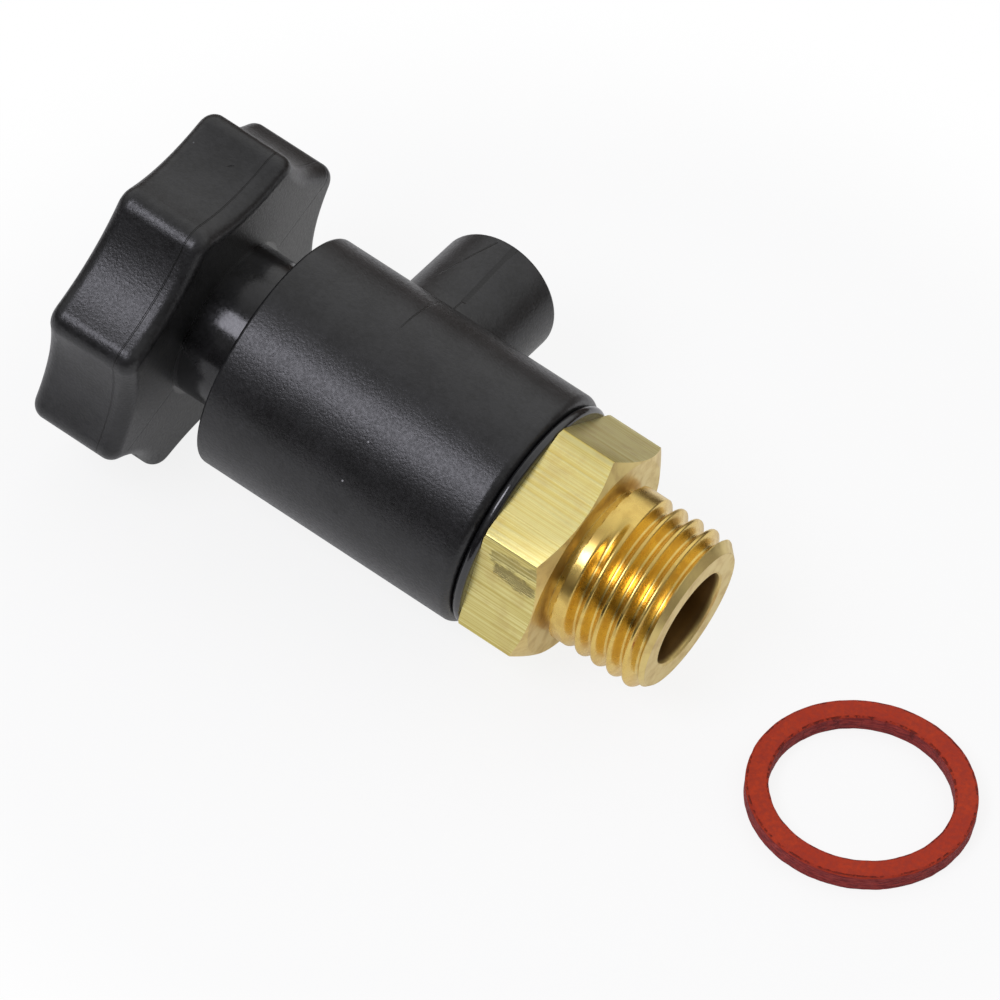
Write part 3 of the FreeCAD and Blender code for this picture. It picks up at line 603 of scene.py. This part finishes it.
first_turn = CREST_AT_SIDE - 3.5 * PITCH
samples = 24
shares = [n / samples for n in range(samples + 1)]
section = [(first_turn + PITCH * n / samples, thread_radius(share)) for n, share in enumerate(shares)]
thread = draw_outline("brass_fitting_turned", section)
apply_modifier(
    thread,
    "SCREW",
    axis="X",
    screw_offset=PITCH * MM,
    iterations=TURNS,
    steps=TURN_STEPS,
    render_steps=TURN_STEPS,
)
print("thread", len(thread.data.vertices), "vertices")

# %% Which way the helix runs
places = [vertex.co for vertex in thread.data.vertices]
turn = [co for co in places if abs(math.hypot(co.y, co.z) / MM - CREST) < 0.002]
early = min(turn, key=lambda co: co.x)
near = [co for co in turn if 0 < co.x - early.x < 0.1 * PITCH * MM]
step = min(near, key=lambda co: abs(co.x - early.x - 0.05 * PITCH * MM))
swing = math.atan2(early.y * step.z - early.z * step.y, early.y * step.y + early.z * step.z)
climb = (step.x - early.x) / MM
print("helix swings", round(math.degrees(swing), 1), "degrees for", round(climb, 3), "mm")
if swing < 0:
    thread.data.transform(Matrix.Diagonal((1, 1, -1, 1)))

# %% [markdown]
# The tool didn't cut the first groove at full depth at once. A plain land stays in front of the
# hexagon, and the groove gets from there to its depth within an eighth of a turn. So each
# vertex of the first groove is lifted as its angle says, and each one before it up to the land.

# %% Run the thread out on the land, and hold its ends inside their chamfers
RUN_OUT_FROM, RUN_OUT_TO = 0.0, -42.0
RELIEF_STEEPNESS = 6
for vertex in thread.data.vertices:
    x = vertex.co.x / MM
    radius = math.hypot(vertex.co.y, vertex.co.z) / MM
    degrees = math.degrees(math.atan2(vertex.co.y, vertex.co.z))
    groove = (x + PITCH * degrees / 360 - CREST_AT) / PITCH
    if groove < -1:
        depth = 0.0
    elif groove < 0:
        share = (degrees - RUN_OUT_FROM) / (RUN_OUT_TO - RUN_OUT_FROM)
        depth = min(1.0, max(0.0, share))
    else:
        depth = 1.0
    x = min(max(x, LAND_START), THREAD_END)
    allowed = CREST - (CREST - radius) * depth
    in_relief = RELIEF + RELIEF_STEEPNESS * (x - LAND_START)
    allowed = min(allowed, in_relief, END_RADIUS + THREAD_END - x)
    vertex.co.x = x * MM
    vertex.co.y *= allowed / radius
    vertex.co.z *= allowed / radius

# %% The rest of the fitting, from the thread's end through the bore and back over the stem
fitting_section = [
    (THREAD_END, END_RADIUS),
    (THREAD_END, 4.35),
    (30.85, 4.18),
    (30.6, 4.1),
    (26.0, 4.1),
    (20.0, 4.1),
    (13.0, 4.1),
    (12.25, 2.6),
    (5.6, 2.6),
    (5.6, 3.8),
    (6.5, 3.8),
    (6.5, 6.0),
    (6.9, 6.4),
    (8.1, 6.4),
    (8.1, 4.9),
    (9.9, 4.9),
    (9.9, 6.4),
    (10.9, 6.4),
    (10.9, 4.9),
    (12.7, 4.9),
    (12.7, 6.4),
    (13.15, 6.4),
    (13.15, 5.65),
    (13.85, 5.65),
    (13.85, 6.4),
    (17.0, 6.4),
    (20.8, RELIEF),
    (22.0, RELIEF),
    (LAND_START, RELIEF),
]
stem = turn_on_lathe("stem", fitting_section)
fitting = join_pieces(thread, stem)
bpy.ops.object.mode_set(mode="EDIT")
bpy.ops.mesh.select_all(action="SELECT")
bpy.ops.mesh.remove_doubles(threshold=2e-6)
bpy.ops.mesh.normals_make_consistent(inside=False)
bpy.ops.object.mode_set(mode="OBJECT")
print("fitting without hexagon:", len(fitting.data.polygons), "faces")
print(loose_edges(fitting), "open edges")

# %% [markdown]
# The hexagon starts as a six-sided bar. Its long edges get a hair of bevel, and a turned blank
# with coned ends is intersected with it, which leaves the curved chamfer lines of a real nut.

# %% The hexagon
ACROSS_FLATS = 18.0
HEXAGON = (16.0, 21.8)
HEXAGON_TURN = 5.0
CORNER_BEVEL = 0.12
start_clean()
bpy.ops.mesh.primitive_cylinder_add(
    vertices=6,
    radius=ACROSS_FLATS / 2 / math.cos(math.pi / 6) * MM,
    depth=(HEXAGON[1] - HEXAGON[0]) * MM,
)
hexagon = bpy.context.object
hexagon.name = "hexagon"
hexagon.data.transform(Matrix.Rotation(math.pi / 2, 4, "Y"))
corner = max(hexagon.data.vertices, key=lambda vertex: vertex.co.z).co
now = math.degrees(math.atan2(corner.y, corner.z))
hexagon.data.transform(Matrix.Rotation(math.radians(now - HEXAGON_TURN), 4, "X"))
hexagon.data.transform(Matrix.Translation(((HEXAGON[0] + HEXAGON[1]) / 2 * MM, 0, 0)))
bpy.ops.object.mode_set(mode="EDIT")
bpy.ops.mesh.select_mode(type="EDGE")
bpy.ops.mesh.select_all(action="DESELECT")
bpy.ops.object.mode_set(mode="OBJECT")
for edge in hexagon.data.edges:
    ends = [hexagon.data.vertices[index].co for index in edge.vertices]
    edge.select = abs(ends[0].x - ends[1].x) > MM
bpy.ops.object.mode_set(mode="EDIT")
bpy.ops.mesh.bevel(offset=CORNER_BEVEL * MM, segments=3, affect="EDGES")
bpy.ops.object.mode_set(mode="OBJECT")
top = max(hexagon.data.vertices, key=lambda vertex: vertex.co.z).co
print("hexagon corner at", round(math.degrees(math.atan2(top.y, top.z)), 1), "degrees from up")

# %% Its chamfers
CHAMFER = math.tan(math.radians(30))
BLANK_RADIUS = 11.0
blank_section = [
    (HEXAGON[0], 0.0),
    (HEXAGON[0], 10.2),
    (HEXAGON[0] + 0.8 * CHAMFER, BLANK_RADIUS),
    (HEXAGON[1] - 2.1 * CHAMFER, BLANK_RADIUS),
    (HEXAGON[1], 8.9),
    (HEXAGON[1], 0.0),
]
blank = turn_on_lathe("blank", blank_section)
apply_modifier(hexagon, "BOOLEAN", operation="INTERSECT", object=blank, solver="EXACT")
bpy.data.objects.remove(blank)
print("hexagon:", len(hexagon.data.polygons), "faces,", loose_edges(hexagon), "open edges")

# %% One piece of brass, with the streaked finish on the flats
apply_modifier(fitting, "BOOLEAN", operation="UNION", object=hexagon, solver="EXACT")
bpy.data.objects.remove(hexagon)
fitting.data.materials.clear()
fitting.data.materials.append(turned_brass)
fitting.data.materials.append(drawn_brass)
flats = 0
for face in fitting.data.polygons:
    middle = face.center / MM
    normal = face.normal
    outward = math.hypot(middle.y, middle.z) > 8.8
    is_flat = outward and abs(normal.x) < 0.05 and HEXAGON[0] < middle.x < HEXAGON[1]
    face.material_index = 1 if is_flat else 0
    flats += is_flat
set_in_place(fitting, cock, 28)
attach(fitting, "fitting")
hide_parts("brass_fitting")
print("fitting:", len(fitting.data.polygons), "faces,", flats, "of them on the flats")
print(loose_edges(fitting), "open edges")

# %% [markdown]
# ## The glossy ring
# A thin plastic ring turns between the body and the hexagon. Its rim is rounded, so it shows
# as a bright line round the black body's end.

# %% The ring
RIM_MIDDLE = (15.575, 9.62)
RIM_RADIUS = 0.42
ring_section = [(15.155, 6.5)]
for degrees in range(-90, 91, 15):
    angle = math.radians(degrees)
    x = RIM_MIDDLE[0] + RIM_RADIUS * math.sin(angle)
    ring_section.append((x, RIM_MIDDLE[1] + RIM_RADIUS * math.cos(angle)))
ring_section.append((15.995, 6.5))
glossy_ring = turn_on_lathe("glossy_ring", ring_section, closed=True)
glossy_ring.data.materials.append(glossy_black)
set_in_place(glossy_ring, cock, 40)
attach(glossy_ring, "fitting")
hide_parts("slip_washer")
print("glossy ring:", loose_edges(glossy_ring), "open edges")

# %% [markdown]
# ## Knob and body
# The solids already have the right shape, with eight shallow scallops on the knob. Their mesh
# is copied, its loose triangles are merged, and its normals are weighted by area, so that flat
# faces stay flat while the roundings between them shine evenly.

# %% Copies of the knob and the body with merged meshes
def merged_copy(source, name, finish, smooth_below):
    start_clean()
    piece = nodes[source].copy()
    piece.data = nodes[source].data.copy()
    piece.name = piece.data.name = name
    for key in list(piece.keys()):
        del piece[key]
    bpy.context.scene.collection.objects.link(piece)
    piece.parent = None
    piece.matrix_world = Matrix.Identity(4)
    piece.select_set(True)
    bpy.context.view_layer.objects.active = piece
    bpy.ops.object.mode_set(mode="EDIT")
    bpy.ops.mesh.select_all(action="SELECT")
    bpy.ops.mesh.remove_doubles(threshold=1e-6)
    bpy.ops.mesh.customdata_custom_splitnormals_clear()
    bpy.ops.object.mode_set(mode="OBJECT")
    bpy.ops.object.shade_smooth_by_angle(angle=math.radians(smooth_below))
    apply_modifier(piece, "WEIGHTED_NORMAL", keep_sharp=True, weight=50)
    piece.data.materials.clear()
    piece.data.materials.append(finish)
    print(name, len(piece.data.polygons), "faces,", loose_edges(piece), "open edges")
    return piece


lobed_knob = merged_copy("star_knob", "lobed_knob", knob_black, 32)
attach(lobed_knob, "knob")
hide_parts("star_knob")
moulded_body = merged_copy("body_housing", "moulded_body", satin_black, 32)
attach(moulded_body, "housing")
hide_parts("body_housing")

# %% [markdown]
# ## The sealing washer
# It is turned as a ring with slightly rolled rims, and then every point is moved a few
# hundredths of a millimetre by a noise, because punched fibre is never quite true.

# %% The washer
INNER, OUTER, THICK = 7.3, 9.2, 1.5
washer_section = [
    (0.0, INNER + 0.12),
    (0.0, (INNER + OUTER) / 2),
    (0.0, OUTER - 0.12),
    (0.06, OUTER - 0.03),
    (0.3, OUTER - 0.01),
    (0.75, OUTER - 0.03),
    (1.2, OUTER),
    (THICK - 0.1, OUTER - 0.02),
    (THICK - 0.02, OUTER - 0.12),
    (THICK, OUTER - 0.3),
    (THICK, (INNER + OUTER) / 2),
    (THICK, INNER + 0.32),
    (THICK - 0.03, INNER + 0.14),
    (THICK - 0.12, INNER + 0.03),
    (0.75, INNER + 0.02),
    (0.1, INNER + 0.03),
]
fibre_washer = turn_on_lathe("fibre_washer", washer_section, closed=True, steps=220)
middle = (INNER + OUTER) / 2
for vertex in fibre_washer.data.vertices:
    point = vertex.co / MM
    radius = math.hypot(point.y, point.z)
    if abs(radius - middle) > 0.6:
        side = 1 if radius > middle else -1
        limit = OUTER - radius if side == 1 else radius - INNER
        rough = noise.fractal(point * 0.9, 0.6, 2.0, 3) * 0.03
        shift = side * max(-0.06, min(limit, rough))
        vertex.co.y *= (radius + shift) / radius
        vertex.co.z *= (radius + shift) / radius
set_in_place(fibre_washer, washer_place @ Matrix.Rotation(-math.pi / 2, 4, "Y"), 50)
low = min(vertex.co.z for vertex in fibre_washer.data.vertices)
fibre_washer.data.materials.append(vulcanised_fibre)
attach(fibre_washer, "washer")
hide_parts("sealing_washer")
print("washer: lowest point", round(low / MM, 4), "mm,", loose_edges(fibre_washer), "open edges")

# %% [markdown]
# ## The pieces inside
# The valve's spindle, bush, rings and clips can't be seen from outside, but the part can be
# taken apart, so each keeps its solid and gets the finish of its material.

# %% Finishes for the carried-over solids
inside_finishes = {
    "spindle": machined_brass,
    "threaded_bush": machined_brass,
    "valve_head": machined_brass,
    "seal_screw": spring_steel,
    "stop_clip": spring_steel,
    "snap_ring": spring_steel,
    "seat_seal": ring_rubber,
    "inner_stem_ring": ring_rubber,
    "outer_stem_ring": ring_rubber,
    "gland_ring": ring_rubber,
    "brass_fitting": turned_brass,
    "slip_washer": glossy_black,
    "star_knob": knob_black,
    "body_housing": satin_black,
    "sealing_washer": vulcanised_fibre,
}
for name, finish in inside_finishes.items():
    nodes[name].data.materials.clear()
    nodes[name].data.materials.append(finish)
print(len(inside_finishes), "solids have a finish")

# %% [markdown]
# ## Table and light
# The photograph was taken on white. The table is white for the camera, a third as bright in
# reflections, and keeps part of the soft shadow. One large lamp stands in front and to the
# left, where the long highlight on the body says it was. The rest of the light comes from the
# walls, which are bright behind the cock and above it, and brown and dark near the table.

# %% Table
start_clean()
bpy.ops.mesh.primitive_plane_add(size=1, location=(0, 0, -0.00002))
table = bpy.context.object
table.name = "table"
table.scale = (0.3, 0.15, 1)
bpy.ops.object.transform_apply(location=False, rotation=False, scale=True)
white_table, tree, shader = new_finish("white_table")
shader.inputs["Base Color"].default_value = (0.9, 0.9, 0.9, 1)
shader.inputs["Roughness"].default_value = 0.9
spot = node(tree, "ShaderNodeTexCoord").outputs["Object"]
from_middle = vectors(tree, "LENGTH", spot, output="Value")
rays = node(tree, "ShaderNodeLightPath").outputs
to_camera = times(tree, rays["Is Camera Ray"], fade(tree, from_middle, 0.045, 0.07, 0.86, 1.0))
mirrored = maths(tree, "MAXIMUM", rays["Is Glossy Ray"], rays["Is Transmission Ray"])
mirrored = times(tree, mirrored, fade(tree, from_middle, 0.035, 0.06, 0.33, 0.15))
glow = node(tree, "ShaderNodeEmission", {"Color": (1, 1, 1, 1), "Strength": 1.0})
share = maths(tree, "MAXIMUM", to_camera, mirrored)
both = node(tree, "ShaderNodeMixShader", {0: share, 1: shader.outputs[0], 2: glow.outputs[0]})
tree.links.new(both.outputs[0], tree.nodes["Material Output"].inputs["Surface"])
table.data.materials.append(white_table)

# %% World
world = bpy.data.worlds.new("studio")
bpy.context.scene.world = world
world.use_nodes = True
tree = world.node_tree
rays = node(tree, "ShaderNodeLightPath").outputs
direction = node(tree, "ShaderNodeTexCoord").outputs["Generated"]
parts = node(tree, "ShaderNodeSeparateXYZ", {0: direction}).outputs
wall = fade(tree, parts[1], -0.6, 0.6, 0.25, 0.9)
above = fade(tree, parts[2], 0.06, 0.44, 0.0, 1.0)
room = mix_colours(tree, above, (0.10, 0.075, 0.06, 1), (1, 1, 1, 1))
room = {0: room, "Scale": wall}
room = node(tree, "ShaderNodeVectorMath", room, operation="SCALE").outputs[0]
room = mix_colours(tree, rays["Is Camera Ray"], room, (1, 1, 1, 1))
background = tree.nodes["Background"]
tree.links.new(room, background.inputs["Color"])
background.inputs["Strength"].default_value = 1.0


# %% Lamps
def soft_lamp(name, azimuth, elevation, distance, width, depth, radiance, colour=(1, 1, 1)):
    """An area lamp that faces the cock. Its brightness is what a mirror would show."""
    around, above = math.radians(azimuth), math.radians(elevation)
    level = math.cos(above)
    way = Vector((level * math.cos(around), level * math.sin(around), math.sin(above)))
    data = bpy.data.lights.new(name, "AREA")
    data.shape = "RECTANGLE"
    data.size, data.size_y = width, depth
    data.energy = radiance * math.pi * width * depth
    data.color = colour
    lamp = bpy.data.objects.new(name, data)
    lamp.location = Vector((0, 0, 0.012)) + way * distance
    lamp.rotation_euler = way.to_track_quat("Z", "Y").to_euler()
    bpy.context.scene.collection.objects.link(lamp)
    print(name, round(data.energy, 2), "W")


soft_lamp(
    "key_lamp",
    azimuth=-108,
    elevation=49,
    distance=0.6,
    width=0.30,
    depth=0.25,
    radiance=6.0,
    colour=(0.97, 0.96, 1.08),
)

# %% The view transform
bpy.context.scene.view_settings.view_transform = "Standard"
